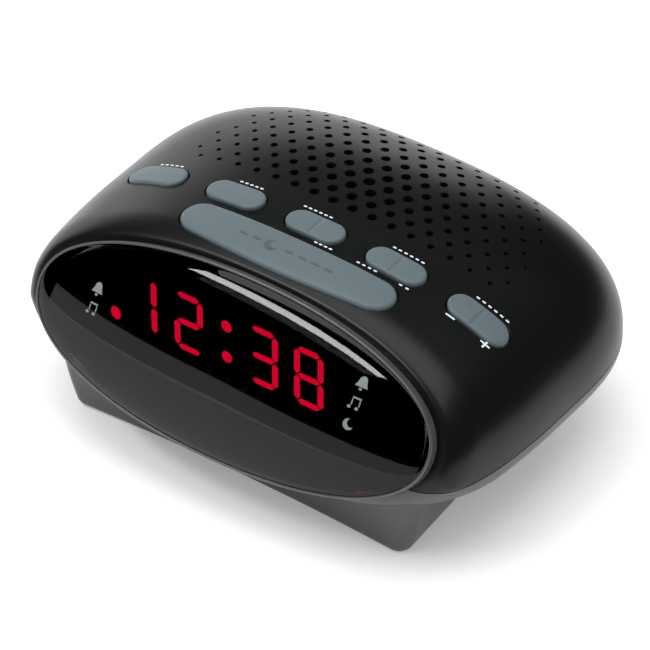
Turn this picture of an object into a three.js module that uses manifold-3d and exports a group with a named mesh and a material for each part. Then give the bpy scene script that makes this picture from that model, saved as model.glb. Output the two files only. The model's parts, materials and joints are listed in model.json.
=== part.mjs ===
// Bedside clock radio: an oval loaf-shaped housing in two shells on a tapered plinth,
// a domed lens that leans back over a red LED display, a snooze bar, two keys and three
// rocker keys on top, a perforated speaker grille, and the works inside.
// Units are millimetres. +X is the listener's right, the lens faces -Y and +Z is up.
// The origin is under the middle of the housing, on the surface that it stands on.

import * as THREE from 'three';
import { mergeVertices } from 'three/addons/utils/BufferGeometryUtils.js';
import Module from 'manifold-3d';

const wasm = await Module();
wasm.setup();

// ---------------------------------------------------------------- driving dimensions

const GAP = 0.3; // clearance kept between pieces that touch
const WALL = 2.2; // shell thickness
const BIG = 200; // larger than the object, for cutting blocks
const ROOF_UNDER = 30; // cutting tools for the roof start at this level
const ROOF_OVER = 70; // and end at this one

// housing loft: superelliptic sections along Y, centred on the parting level
const HALF_WIDTH = 69;
const PARTING_Z = 26.5;
const CROWN = 30.3; // parting level to the top
const KEEL = 15; // parting level to the underside
const REAR_Y = 54.2;
const FRONT_Y = -44.7; // front rim at the parting level
const TOP_EXPONENT = 2.46;
const KEEL_EXPONENT = 2.5;
const SIDE_CLOSE_Y = 5; // where the plan outline starts to round towards the rear
const TOP_CLOSE_Y = 7.4; // where the roof starts to fall towards the rear
const KEEL_CLOSE_Y = 17; // where the underside starts to rise towards the rear
const SIDE_CLOSE_EXPONENT = 2.95;
const TOP_CLOSE_EXPONENT = 2.57;
const KEEL_CLOSE_EXPONENT = 2.5;
const NARROW_FROM_Y = -4; // forward of this the section narrows slightly
const NARROW_LENGTH = 32.5;
const NARROW_X = 0.046;
const SHEAR_END_Y = 14.5; // sections are upright behind this
const SHOULDER_SOFT = 22;
const SHOULDER_SHARP = 8;

// lens and the rim it sits on: both lie in planes that lean back
const LEAN = THREE.MathUtils.degToRad(30);
const LENS_Y = -42.2; // centre of the lens outline
const LENS_Z = 35.9;
const LENS_A = 58.6;
const LENS_B = 23;
const LENS_EXPONENT = 2.15;
const LENS_BULGE = 5.5;
const LENS_EDGE = 2.2;
const LENS_INNER_BULGE = 5.9;
const LENS_INNER_SCALE = 0.955;
const BULGE_EXPONENT = 0.75;
const RIM_A = 59.4;
const RIM_B_TOP = 21.6;
const RIM_B_BOTTOM = 22.8;

// frame behind the lens; w runs up the leaning plane
const FRAME_HALF_WIDTH = 56;
const FRAME_TOP = 18.7;
const FRAME_BOTTOM = 19.2;
const FRAME_FRONT = 2.9; // behind the plane of the lens edge
const FRAME_BACK = 4.6;
const FRAME_WINDOW = { x0: -38, x1: 28.5, w0: -10.5, w1: 14.9 };

// plinth under the housing
const PLINTH_Z = 0.6;
const PLINTH_TOP_Z = 24;
const PLINTH_HALF_WIDTH = 50;
const PLINTH_FLARE = 4;
const PLINTH_FLARE_Z = 16;
const PLINTH_FLARE_EXPONENT = 1.6;
const PLINTH_FRONT_Y = -41;
const PLINTH_FRONT_BOW = 1.4; // the front wall is hollowed slightly between its corners
const PLINTH_REAR_Y = 35;
const PLINTH_FRONT_RAKE = 0.05; // the walls lean outwards by these for each mm of height
const PLINTH_REAR_RAKE = 0.1;
const PLINTH_REAR_TAPER = 4;
const PLINTH_FRONT_RADIUS = 3.4;
const PLINTH_REAR_RADIUS = 12;
const FLOOR_TOP_Z = 3;

// keys
const KEY_PITCH = 24;
const KEY_Y = -7;
const KEY_LENGTH = 16.5;
const KEY_WIDTH = 7.8;
const KEY_PROUD = 0.8;
const KEY_DEPTH = 4.8; // surface to the underside of the key's flange
const FLANGE_DROP = 3.6; // surface to the top of the flange
const FLANGE_MARGIN = 0.8;
const KEY_CLEARANCE = 0.35;
const SNOOZE_Y = -18.6;
const SNOOZE_HALF_LENGTH = 31.2;
const SNOOZE_HALF_WIDTH = 5.1;
const SNOOZE_BOW = 2.4;
const SNOOZE_TURN = 0.45 * Math.PI; // how far each round end turns before the bowed front edge
const SNOOZE_SWITCH_X = 18;
const ROCKER_SWITCH_X = 4.7;
const STEM_RADIUS = 1.5;
const STEM_END_Z = 40.6;

// boards and switches
const BOARD_THICKNESS = 1.6;
const KEY_BOARD_Z = 35.4;
const SWITCH_SIZE = 6;
const SWITCH_HEIGHT = 2.7;
const MAIN_BOARD_Z = 17;

// grille: staggered holes over the loudspeaker
const HOLE_PITCH_X = 5.81;
const HOLE_PITCH_Y = 3.73;
const HOLE_FRONT_Y = 4.5;
const HOLE_ROWS = 9;
const HOLE_SIDES = 6;
const HOLE_RADIUS_MAX = 1.45;
const HOLE_RADIUS_FALL = 0.6;
const HOLE_REACH_X = 32;
const HOLE_REACH_Y = 21;

// loudspeaker
const SPEAKER_Y = 23;
const SPEAKER_RADIUS = 22.5;
const SPEAKER_TOP_Z = 43;
const SPEAKER_BOTTOM_Z = 25;
const SPEAKER_RING_INNER = 20.8;
const SPEAKER_RING_OUTER = 24;
const CLIP_X = 28;
const CLIP_Z = 40;
const CLIP_THICKNESS = 1.2;

// display
const MODULE = { x0: -31.3, x1: 25.5, y0: -34.6, y1: -27.6, z0: 26.4, z1: 46.4 };
const ALARM_LED = { x: -35, z: 37.3, y0: -42.2, y1: -27.6, half: 1.6 };

// fixings
const HOUSING_SCREWS = [[-44.5, -22], [44.5, -22], [-40, 25], [40, 25]];
const FEET = [[-38, -32], [38, -32], [-42, 12], [42, 12]];
const FOOT_RADIUS = 5;
const FOOT_HEIGHT = 1.6;
const WELL_RADIUS = 4.2;
const WELL_TOP_Z = 17;
const WELL_SEAT_Z = 12;
const BOSS_RADIUS = 3.4;
const SCREW_HEAD_RADIUS = 2.9;
const SCREW_SHAFT_RADIUS = 1.4;
const SMALL_BOSS_RADIUS = 2.3;
const SMALL_PILOT_RADIUS = 1.5;
const KEY_BOARD_SCREWS = [[-36, KEY_Y], [36, KEY_Y]];
const SPEAKER_SCREWS = [[-CLIP_X, SPEAKER_Y], [CLIP_X, SPEAKER_Y]];
const BOARD_POSTS = [[-4, -20], [32, -20], [32, 28]];

// battery bay, under the floor at the rear
const BAY = { x0: -21.5, x1: 28, y0: 8.8, y1: 31.7, top: 14.6 };
const BAY_WALL = 1.5;
const CELL_RADIUS = 5.2;
const CELL_LENGTH = 44.5;
const DOOR_LIP = 1.3;

const GLAND = { x: -32, z: 9.5, face: 37.2, end: 40 };

// ---------------------------------------------------------------- materials

const material = (color, roughness, metalness = 0) =>
  new THREE.MeshStandardMaterial({ color, roughness, metalness });
const BLACK_PLASTIC = () => material(0x1b1c1d, 0.5);
const KEY_PLASTIC = () => material(0x6c7a84, 0.45);
const LENS_PLASTIC = () => material(0x08090b, 0.08);
const RUBBER = () => material(0x141414, 0.9);
const STEEL = () => material(0x9a9ca0, 0.35, 0.9);
const BOARD = () => material(0x2f5d3a, 0.6);
const CHIP = () => material(0x18181a, 0.55);

// ---------------------------------------------------------------- solid helpers

function toSolid(geometry) {
  const bare = geometry.clone();
  bare.deleteAttribute('normal');
  bare.deleteAttribute('uv');
  const merged = mergeVertices(bare, 1e-4);
  const mesh = new wasm.Mesh({
    numProp: 3,
    vertProperties: new Float32Array(merged.attributes.position.array),
    triVerts: new Uint32Array(merged.index.array),
  });
  return new wasm.Manifold(mesh);
}

function toGeometry(solid) {
  const mesh = solid.getMesh();
  const geometry = new THREE.BufferGeometry();
  geometry.setAttribute('position', new THREE.BufferAttribute(new Float32Array(mesh.vertProperties), 3));
  geometry.setIndex(new THREE.BufferAttribute(new Uint32Array(mesh.triVerts), 1));
  geometry.computeVertexNormals();
  return geometry;
}

const union = (solids) => solids.reduce((sum, solid) => sum.add(solid));
const cut = (solid, tools) => tools.reduce((rest, tool) => rest.subtract(tool), solid);

function boxGeometry(x0, x1, y0, y1, z0, z1) {
  const geometry = new THREE.BoxGeometry(x1 - x0, y1 - y0, z1 - z0);
  return geometry.translate((x0 + x1) / 2, (y0 + y1) / 2, (z0 + z1) / 2);
}

const box = (...bounds) => toSolid(boxGeometry(...bounds));

// upright cylinder
function rodGeometry(x, y, radius, z0, z1, sides = 16) {
  const geometry = new THREE.CylinderGeometry(radius, radius, z1 - z0, sides);
  return geometry.rotateX(Math.PI / 2).translate(x, y, (z0 + z1) / 2);
}

const rod = (...args) => toSolid(rodGeometry(...args));

// cylinder along Y
function rodYGeometry(x, z, radius, y0, y1, sides = 16) {
  return new THREE.CylinderGeometry(radius, radius, y1 - y0, sides).translate(x, (y0 + y1) / 2, z);
}

// solid of revolution about an upright axis; the profile is [radius, z] pairs
function latheGeometry(profile, x, y, sides = 16) {
  const points = profile.map(([radius, z]) => new THREE.Vector2(radius, z));
  return new THREE.LatheGeometry(points, sides).rotateX(Math.PI / 2).translate(x, y, 0);
}

// a 2-D outline extruded upright
function prismGeometry(shape, z0, z1, curveSegments = 8) {
  const options = { depth: z1 - z0, bevelEnabled: false, curveSegments };
  return new THREE.ExtrudeGeometry(shape, options).translate(0, 0, z0);
}

const prism = (...args) => toSolid(prismGeometry(...args));

// closed surface through rings of points, with flat fans over both ends
function ringsGeometry(rings) {
  const count = rings[0].length;
  const positions = rings.flat().flatMap((point) => point.toArray());
  const indices = [];
  const centre = (ring) => ring.reduce((sum, p) => sum.add(p), new THREE.Vector3()).divideScalar(count);
  for (let k = 0; k + 1 < rings.length; k++) {
    for (let i = 0; i < count; i++) {
      const a = k * count + i;
      const b = k * count + (i + 1) % count;
      indices.push(a, b + count, b, a, a + count, b + count);
    }
  }
  const first = rings.length * count;
  const last = first + 1;
  positions.push(...centre(rings[0]).toArray(), ...centre(rings[rings.length - 1]).toArray());
  for (let i = 0; i < count; i++) {
    const next = (i + 1) % count;
    const base = (rings.length - 1) * count;
    indices.push(first, i, next, last, base + next, base + i);
  }
  const geometry = new THREE.BufferGeometry();
  geometry.setAttribute('position', new THREE.Float32BufferAttribute(positions, 3));
  geometry.setIndex(indices);
  return geometry;
}

// ---------------------------------------------------------------- housing surface

const clamp01 = (t) => THREE.MathUtils.clamp(t, 0, 1);
const smooth = (t) => THREE.MathUtils.smoothstep(t, 0, 1);
const power = (value, exponent) => Math.sign(value) * Math.abs(value) ** exponent;

// 1 at the start of a closing stretch and 0 at its end, as a superelliptic quarter
function closing(y, start, end, exponent) {
  const t = clamp01((y - start) / (end - start));
  return (1 - t ** exponent) ** (1 / exponent);
}

function bodyPoint(station, angle, inset) {
  const c = Math.cos(angle);
  const s = Math.sin(angle);
  const end = REAR_Y - inset;
  const exponent = s > 0 ? TOP_EXPONENT : KEEL_EXPONENT;
  const rise = s > 0
    ? (CROWN - inset) * closing(station, TOP_CLOSE_Y, end, TOP_CLOSE_EXPONENT)
    : (KEEL - inset) * closing(station, KEEL_CLOSE_Y, end, KEEL_CLOSE_EXPONENT);
  const width = (HALF_WIDTH - inset) * closing(station, SIDE_CLOSE_Y, end, SIDE_CLOSE_EXPONENT);
  const height = rise * power(s, 2 / exponent);
  const shear = Math.tan(LEAN) * (1 - smooth((station - FRONT_Y) / (SHEAR_END_Y - FRONT_Y)));
  const y = station + shear * height;
  const narrow = THREE.MathUtils.clamp((NARROW_FROM_Y - y) / NARROW_LENGTH, 0, 1.2) ** 2;
  const x = width * power(c, 2 / exponent) * (1 - NARROW_X * narrow);
  return new THREE.Vector3(x, y, PARTING_Z + height);
}

function rimPoint(angle, inset) {
  const c = Math.cos(angle);
  const s = Math.sin(angle);
  const half = (s > 0 ? RIM_B_TOP : RIM_B_BOTTOM) - inset;
  const z = LENS_Z + half * power(s, 2 / LENS_EXPONENT) * Math.cos(LEAN);
  const y = FRONT_Y + Math.tan(LEAN) * (z - PARTING_Z);
  return new THREE.Vector3((RIM_A - inset) * power(c, 2 / LENS_EXPONENT), y, z);
}

function housingPoint(station, angle, inset) {
  const distance = station - FRONT_Y;
  const sharp = (1 - (1 - clamp01(distance / SHOULDER_SHARP)) ** 2) ** 0.5;
  const soft = 1 - (1 - clamp01(distance / SHOULDER_SOFT)) ** 2;
  const share = smooth(clamp01(Math.sin(angle) * 1.6 + 0.6));
  const blend = THREE.MathUtils.lerp(soft, sharp, share);
  return rimPoint(angle, inset).lerp(bodyPoint(station, angle, inset), blend);
}

const SECTION_POINTS = 48;

function stations(inset) {
  const shoulder = [0, 0.6, 2, 4.2, 7, 10.5, 14].map((d) => FRONT_Y + d);
  const middle = [-25.5, -20, -12, -2, 6, 12];
  const start = 17;
  const reach = REAR_Y - inset - start;
  const rear = [0.06, 0.22, 0.4, 0.56, 0.7, 0.82, 0.91, 0.965, 0.993].map((t) => start + reach * t);
  return [...shoulder, ...middle, ...rear];
}

function housingRings(inset) {
  const angles = Array.from({ length: SECTION_POINTS }, (_, i) => (i / SECTION_POINTS) * 2 * Math.PI);
  return stations(inset).map((y) => angles.map((angle) => housingPoint(y, angle, inset)));
}

const outerGeometry = ringsGeometry(housingRings(0));
const outer = toSolid(outerGeometry);
const lowered = (depth) => toSolid(outerGeometry.clone().translate(0, 0, -depth));

// the hollow, carried on out through the front rim
function hollowSolid() {
  const rings = housingRings(WALL);
  const forward = new THREE.Vector3(0, -Math.cos(LEAN), Math.sin(LEAN)).multiplyScalar(10);
  const mouth = rings[0].map((point) => point.clone().add(forward));
  return toSolid(ringsGeometry([mouth, ...rings.slice(1)]));
}

const hollow = hollowSolid();

// ---------------------------------------------------------------- plinth surface

// half outline widths at a level, rounded at the corners
function plinthShape(z, inset) {
  const flare = PLINTH_FLARE * (1 - (1 - clamp01(z / PLINTH_FLARE_Z)) ** PLINTH_FLARE_EXPONENT);
  const front = PLINTH_HALF_WIDTH + flare - inset;
  const rear = front - PLINTH_REAR_TAPER;
  const y0 = PLINTH_FRONT_Y - PLINTH_FRONT_RAKE * z + inset;
  const y1 = PLINTH_REAR_Y + PLINTH_REAR_RAKE * z - inset;
  const corners = [
    [-front, y0, PLINTH_FRONT_RADIUS, Math.PI],
    [front, y0, PLINTH_FRONT_RADIUS, 1.5 * Math.PI],
    [rear, y1, PLINTH_REAR_RADIUS, 0],
    [-rear, y1, PLINTH_REAR_RADIUS, 0.5 * Math.PI],
  ];
  const steps = 5;
  const points = [];
  for (const [x, y, fullRadius, start] of corners) {
    const radius = fullRadius - inset;
    const cx = x - Math.sign(x) * radius;
    const cy = y + (y < 0 ? radius : -radius);
    for (let i = 0; i <= steps; i++) {
      const angle = start + (i / steps) * 0.5 * Math.PI;
      points.push(new THREE.Vector3(cx + radius * Math.cos(angle), cy + radius * Math.sin(angle), z));
    }
  }
  const bowed = [-0.6, -0.2, 0.2, 0.6].map((t) =>
    new THREE.Vector3(t * (front - PLINTH_FRONT_RADIUS), y0 + PLINTH_FRONT_BOW * (1 - t * t), z));
  points.splice(steps + 1, 0, ...bowed);
  return points.reverse();
}

const plinthSolid = (levels, inset) => toSolid(ringsGeometry(levels.map((z) => plinthShape(z, inset))));

// ---------------------------------------------------------------- key outlines

function capsuleShape(x, y, length, width, margin = 0) {
  const radius = width / 2 + margin;
  const run = (length - width) / 2;
  const shape = new THREE.Shape();
  shape.absarc(x + run, y, radius, -Math.PI / 2, Math.PI / 2, false);
  shape.absarc(x - run, y, radius, Math.PI / 2, 1.5 * Math.PI, false);
  return shape;
}

function snoozeShape(margin = 0) {
  const half = SNOOZE_HALF_WIDTH + margin;
  const run = SNOOZE_HALF_LENGTH + margin - half;
  const bowX = run + half * Math.cos(SNOOZE_TURN);
  const bowY = SNOOZE_Y - half * Math.sin(SNOOZE_TURN);
  const shape = new THREE.Shape();
  shape.absarc(-run, SNOOZE_Y, half, Math.PI / 2, Math.PI + SNOOZE_TURN, false);
  shape.quadraticCurveTo(0, SNOOZE_Y - half - 2 * SNOOZE_BOW, bowX, bowY);
  shape.absarc(run, SNOOZE_Y, half, -SNOOZE_TURN, Math.PI / 2, false);
  return shape;
}

const keyX = (place) => place * KEY_PITCH;

// a cap that follows the housing's surface, with a flange under the shell and stems below
function keySolid(shapeAt, stems) {
  const skin = lowered(-KEY_PROUD);
  const underside = lowered(KEY_DEPTH);
  const cap = prism(shapeAt(0), ROOF_UNDER, ROOF_OVER).intersect(skin).subtract(underside);
  const roof = lowered(FLANGE_DROP);
  const flange = prism(shapeAt(FLANGE_MARGIN), ROOF_UNDER, ROOF_OVER).intersect(roof).subtract(underside);
  const posts = stems.map(([x, y]) => rod(x, y, STEM_RADIUS, STEM_END_Z, 70, 8).intersect(roof));
  return union([cap, flange, ...posts]);
}

// ---------------------------------------------------------------- housing shells

const level = (z0, z1) => box(-BIG, BIG, -BIG, BIG, z0, z1);

function grilleHoles() {
  const holes = [];
  for (let row = 0; row < HOLE_ROWS; row++) {
    const y = HOLE_FRONT_Y + row * HOLE_PITCH_Y;
    for (let column = -6; column <= 6; column++) {
      const x = (column + (row % 2 ? 0 : 0.5)) * HOLE_PITCH_X;
      const reach = Math.hypot(x / HOLE_REACH_X, (y - SPEAKER_Y + 4) / HOLE_REACH_Y);
      if (reach > 1) continue;
      holes.push(rod(x, y, HOLE_RADIUS_MAX - HOLE_RADIUS_FALL * reach, 40, 70, HOLE_SIDES));
    }
  }
  return holes;
}

function topShell() {
  const inner = lowered(1);
  const upper = outer.subtract(hollow).intersect(level(PARTING_Z + GAP / 2, BIG));
  const bosses = HOUSING_SCREWS.map(([x, y]) => rod(x, y, BOSS_RADIUS, WELL_TOP_Z + GAP, 70, 12));
  const keyBosses = KEY_BOARD_SCREWS.map(([x, y]) =>
    rod(x, y, SMALL_BOSS_RADIUS, KEY_BOARD_Z + BOARD_THICKNESS + GAP, 70, 12));
  const clipBosses = SPEAKER_SCREWS.map(([x, y]) =>
    rod(x, y, SMALL_BOSS_RADIUS, CLIP_Z + CLIP_THICKNESS + GAP, 70, 12));
  const collar = rod(0, SPEAKER_Y, SPEAKER_RING_OUTER, SPEAKER_TOP_Z + GAP, 70, 32);
  const ring = collar.subtract(rod(0, SPEAKER_Y, SPEAKER_RING_INNER, 30, 80, 32));
  const ribs = union([ring, ...bosses, ...keyBosses, ...clipBosses]).intersect(inner);
  const pilots = HOUSING_SCREWS.map(([x, y]) => rod(x, y, SCREW_SHAFT_RADIUS + 0.35, 0, 28, 8));
  const smallPilots = [...KEY_BOARD_SCREWS, ...SPEAKER_SCREWS].map(([x, y]) =>
    rod(x, y, SMALL_PILOT_RADIUS, 30, 46, 8));
  const keyHoles = [-2, -1, 0, 1, 2].map((place) =>
    prism(capsuleShape(keyX(place), KEY_Y, KEY_LENGTH, KEY_WIDTH, KEY_CLEARANCE), ROOF_UNDER, ROOF_OVER));
  const snoozeHole = prism(snoozeShape(KEY_CLEARANCE), ROOF_UNDER, ROOF_OVER);
  return cut(upper.add(ribs), [...pilots, ...smallPilots, ...keyHoles, snoozeHole, ...grilleHoles()]);
}

function doorChannel() {
  const { x0, x1, y0 } = BAY;
  const wide = box(x0 - 2 * DOOR_LIP, x1 + 2 * DOOR_LIP, y0 - 2.6, BIG, 1.5, 2.7);
  const narrow = box(x0 - DOOR_LIP, x1 + DOOR_LIP, y0 - 2.6, BIG, -5, 2);
  return wide.add(narrow);
}

function bottomShell() {
  const lower = outer.intersect(level(-BIG, PARTING_Z - GAP / 2));
  const shellTop = level(-BIG, PARTING_Z - GAP / 2);
  const plinthLevels = [PLINTH_Z, 2.5, 5, 9, 13, PLINTH_FLARE_Z, PLINTH_TOP_Z];
  const plinth = plinthSolid(plinthLevels, 0).intersect(shellTop);
  const plinthHollow = plinthSolid([FLOOR_TOP_Z, 5, 9, 13, PLINTH_FLARE_Z, PLINTH_TOP_Z], WALL);
  const land = toSolid(rodYGeometry(GLAND.x, GLAND.z, 5.6, 30, GLAND.face, 20));
  const skin = cut(union([lower, plinth, land.intersect(level(0, PARTING_Z - 1))]), [hollow, plinthHollow]);
  const wells = HOUSING_SCREWS.map(([x, y]) => rod(x, y, WELL_RADIUS, PLINTH_Z + 0.5, WELL_TOP_Z, 16));
  const { x0, x1, y0, y1 } = BAY;
  const bay = box(x0 - BAY_WALL, x1 + BAY_WALL, y0 - BAY_WALL, y1 + BAY_WALL, 2, BAY.top + BAY_WALL);
  const apron = box(x0 - 4.6, x1 + 4.6, y0 - 4.6, 33.5, 2, 4.8);
  const posts = BOARD_POSTS.map(([x, y]) => rod(x, y, 2.5, 2, MAIN_BOARD_Z - GAP, 10));
  const pads = TRANSFORMER_SCREWS.map(([x, y]) => rod(x, y, 2.5, 2, CORE.z0 - GAP, 10));
  const body = union([skin, bay, apron, ...wells, ...posts, ...pads]);
  const seats = HOUSING_SCREWS.map(([x, y]) => rod(x, y, SCREW_HEAD_RADIUS + 0.5, -5, WELL_SEAT_Z, 16));
  const shafts = HOUSING_SCREWS.map(([x, y]) => rod(x, y, SCREW_SHAFT_RADIUS + 0.5, -5, 30, 8));
  const pockets = FEET.map(([x, y]) => rod(x, y, FOOT_RADIUS + GAP, -5, FOOT_HEIGHT + GAP, 20));
  const bayHollow = box(x0, x1, y0, y1, 1, BAY.top);
  const vents = [-40, -34, -28, -22, -16].map((x) => box(x - 0.9, x + 0.9, -16, 2, -5, 4));
  const floorPilots = TRANSFORMER_SCREWS.map(([x, y]) => rod(x, y, SMALL_PILOT_RADIUS, 1.3, 6, 8));
  const glandHole = toSolid(rodYGeometry(GLAND.x, GLAND.z, 3, 20, 60, 16));
  const openings = [bayHollow, doorChannel(), ...vents, ...floorPilots, glandHole];
  return cut(body, [...seats, ...shafts, ...pockets, ...openings]);
}

// ---------------------------------------------------------------- lens and front frame

// a point of the leaning front plane: x across, w up the slope, offset out of the plane
function leaning(x, w, offset) {
  const y = LENS_Y + w * Math.sin(LEAN) - offset * Math.cos(LEAN);
  return new THREE.Vector3(x, y, LENS_Z + w * Math.cos(LEAN) + offset * Math.sin(LEAN));
}

function lensRing(scale, offset, count = 56) {
  return Array.from({ length: count }, (_, i) => {
    const angle = (i / count) * 2 * Math.PI;
    const x = LENS_A * scale * power(Math.cos(angle), 2 / LENS_EXPONENT);
    const w = LENS_B * scale * power(Math.sin(angle), 2 / LENS_EXPONENT);
    return leaning(x, w, offset);
  });
}

function lensGeometry() {
  const front = [0.1, 0.3, 0.5, 0.68, 0.83, 0.93, 0.985].map((scale) =>
    lensRing(scale, LENS_BULGE * (1 - scale * scale) ** BULGE_EXPONENT));
  const edge = [lensRing(1, 0), lensRing(1, -LENS_EDGE)];
  const back = [1, 0.93, 0.8, 0.6, 0.35, 0.1].map((t) =>
    lensRing(t * LENS_INNER_SCALE, LENS_INNER_BULGE * (1 - t * t) ** BULGE_EXPONENT - LENS_EDGE));
  return ringsGeometry([...front, ...edge, ...back]);
}

// plate outlined in the leaning plane
function leaningPlate(shape, front, back, curveSegments) {
  const geometry = prismGeometry(shape, -back, -front, curveSegments);
  return geometry.rotateX(Math.PI / 2 - LEAN).translate(0, LENS_Y, LENS_Z);
}

function frameShape() {
  const count = 48;
  const points = Array.from({ length: count }, (_, i) => {
    const angle = (i / count) * 2 * Math.PI;
    const half = Math.sin(angle) > 0 ? FRAME_TOP : FRAME_BOTTOM;
    const x = FRAME_HALF_WIDTH * power(Math.cos(angle), 2 / LENS_EXPONENT);
    return new THREE.Vector2(x, half * power(Math.sin(angle), 2 / LENS_EXPONENT));
  });
  return new THREE.Shape(points);
}

function frontFrame() {
  const plate = toSolid(leaningPlate(frameShape(), FRAME_FRONT, FRAME_BACK));
  const window = new THREE.Shape();
  const { x0, x1, w0, w1 } = FRAME_WINDOW;
  window.moveTo(x0, w0);
  window.lineTo(x1, w0);
  window.lineTo(x1, w1);
  window.lineTo(x0, w1);
  return plate.subtract(toSolid(leaningPlate(window, -5, 15)));
}

// ---------------------------------------------------------------- loudspeaker

function speakerFrameGeometry() {
  const top = SPEAKER_TOP_Z;
  const profile = [[SPEAKER_RADIUS, top], [20.2, top], [19.2, top - 1.5], [12, top - 9.4], [14.2, top - 9.4],
    [20.7, top - 1.6], [SPEAKER_RADIUS, top - 1.6], [SPEAKER_RADIUS, top]];
  return latheGeometry(profile, 0, SPEAKER_Y, 28);
}

function speakerConeGeometry() {
  const top = SPEAKER_TOP_Z;
  const profile = [[0, top - 7.6], [7, top - 7.6], [17.6, top - 1.6], [19.2, top - 0.9], [19.2, top - 0.4],
    [17.5, top - 1], [7, top - 6.6], [4, top - 5.2], [0, top - 4.6]];
  return latheGeometry(profile, 0, SPEAKER_Y, 28);
}

function speakerMagnetGeometry() {
  const base = SPEAKER_BOTTOM_Z;
  const profile = [[0, base], [12.5, base], [12.5, base + 8.3], [0, base + 8.3]];
  return latheGeometry(profile, 0, SPEAKER_Y, 24);
}

// a flat bar that laps under the speaker's rim and is screwed up into a boss
function speakerClip(side) {
  const ends = [side * 21.2, side * 31].sort((a, b) => a - b);
  const bar = box(ends[0], ends[1], SPEAKER_Y - 2.5, SPEAKER_Y + 2.5, CLIP_Z, CLIP_Z + CLIP_THICKNESS);
  return bar.subtract(rod(side * CLIP_X, SPEAKER_Y, SMALL_PILOT_RADIUS, 30, 50, 8));
}

// ---------------------------------------------------------------- power supply

const CORE = { x0: -40, x1: -12, y0: -15, y1: -1, z0: 5, z1: 30.7 };
const CORE_LEG = 4.7;
const EAR_LENGTH = 5;
const EAR_THICKNESS = 1.2;
const TRANSFORMER_SCREWS = [[CORE.x0 - 2.6, -8], [CORE.x1 + 2.6, -8]];

function transformerCore() {
  const { x0, x1, y0, y1, z0, z1 } = CORE;
  const window = (from, to) => box(from, to, y0 - 5, y1 + 5, z0 + CORE_LEG, z1 - CORE_LEG);
  const windows = [window(x0 + CORE_LEG, x0 + 2 * CORE_LEG), window(x1 - 2 * CORE_LEG, x1 - CORE_LEG)];
  const ears = box(x0 - EAR_LENGTH, x1 + EAR_LENGTH, y0 + 3, y1 - 3, z0, z0 + EAR_THICKNESS);
  const holes = TRANSFORMER_SCREWS.map(([x, y]) => rod(x, y, SMALL_PILOT_RADIUS, 0, 10, 8));
  return cut(box(x0, x1, y0, y1, z0, z1).add(ears), [...windows, ...holes]);
}

function transformerWinding() {
  const { x0, x1, y0, y1, z0, z1 } = CORE;
  const inset = CORE_LEG + GAP;
  const body = box(x0 + inset, x1 - inset, y0 - 4.4, y1 + 4.4, z0 + inset, z1 - inset);
  const bore = box(x0 + 2 * CORE_LEG - GAP, x1 - 2 * CORE_LEG + GAP, y0 - GAP, y1 + GAP, 0, 60);
  return body.subtract(bore);
}

// a small pan-head screw; up is 1 when its shaft points upwards
function smallScrewGeometry(x, y, seat, up) {
  const profile = [[0, -1.6], [2.2, -1.6], [2.5, -0.9], [2.5, 0], [1.2, 0], [1.2, 5], [0, 5]];
  const geometry = latheGeometry(profile, 0, 0, 10);
  if (up < 0) geometry.rotateX(Math.PI);
  return geometry.translate(x, y, seat);
}

// ---------------------------------------------------------------- batteries

function cellGeometry(y, flip) {
  const half = CELL_LENGTH / 2;
  const nub = half - 0.8;
  const profile = [[0, -half], [4, -half], [CELL_RADIUS, -half + 0.4], [CELL_RADIUS, nub - 0.4], [4.6, nub],
    [1.9, nub], [1.9, half], [0, half]];
  const points = profile.map(([radius, z]) => new THREE.Vector2(radius, z));
  const geometry = new THREE.LatheGeometry(points, 14).rotateZ(flip ? Math.PI / 2 : -Math.PI / 2);
  return geometry.translate((BAY.x0 + BAY.x1) / 2, y, 8.8);
}

const CELL_Y = [14.6, 25.9];

function contactGeometry(side) {
  const x = side > 0 ? BAY.x1 - 0.9 : BAY.x0 + GAP;
  return boxGeometry(x, x + 0.6, CELL_Y[0] - 4, CELL_Y[1] + 4, 4.5, 13);
}

function batteryDoor() {
  const { x0, x1, y0 } = BAY;
  const rear = PLINTH_REAR_Y - 0.3;
  const plate = box(x0 - DOOR_LIP + GAP, x1 + DOOR_LIP - GAP, y0 - 2.2, rear, PLINTH_Z, 2.3);
  const rails = box(x0 - 2 * DOOR_LIP + GAP, x1 + 2 * DOOR_LIP - GAP, y0 - 2.2, rear - 3, 1.85, 2.3);
  const grip = box(-7, 13, 28, 29, 0, 1.3);
  return cut(plate.add(rails), [grip]);
}

// ---------------------------------------------------------------- small parts

function housingScrewGeometry(x, y) {
  const seat = WELL_SEAT_Z - GAP;
  const profile = [[0, seat - 2], [SCREW_HEAD_RADIUS - 0.6, seat - 2], [SCREW_HEAD_RADIUS, seat - 1.2],
    [SCREW_HEAD_RADIUS, seat], [SCREW_SHAFT_RADIUS, seat], [SCREW_SHAFT_RADIUS, 26], [0, 27]];
  return latheGeometry(profile, x, y, 12);
}

function footGeometry(x, y) {
  const profile = [[0, 0], [FOOT_RADIUS - 0.5, 0], [FOOT_RADIUS, 0.5], [FOOT_RADIUS, FOOT_HEIGHT],
    [0, FOOT_HEIGHT]];
  return latheGeometry(profile, x, y, 20);
}

function glandSolid() {
  const face = GLAND.face + GAP;
  const flange = toSolid(rodYGeometry(GLAND.x, GLAND.z, 4.6, face, face + 1.2, 20));
  const collar = toSolid(rodYGeometry(GLAND.x, GLAND.z, 3.4, face, GLAND.end, 20));
  const neck = toSolid(rodYGeometry(GLAND.x, GLAND.z, 2.7, face - 6, face + 1, 20));
  return cut(union([flange, collar, neck]), [toSolid(rodYGeometry(GLAND.x, GLAND.z, 1.8, 20, 70, 12))]);
}

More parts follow.
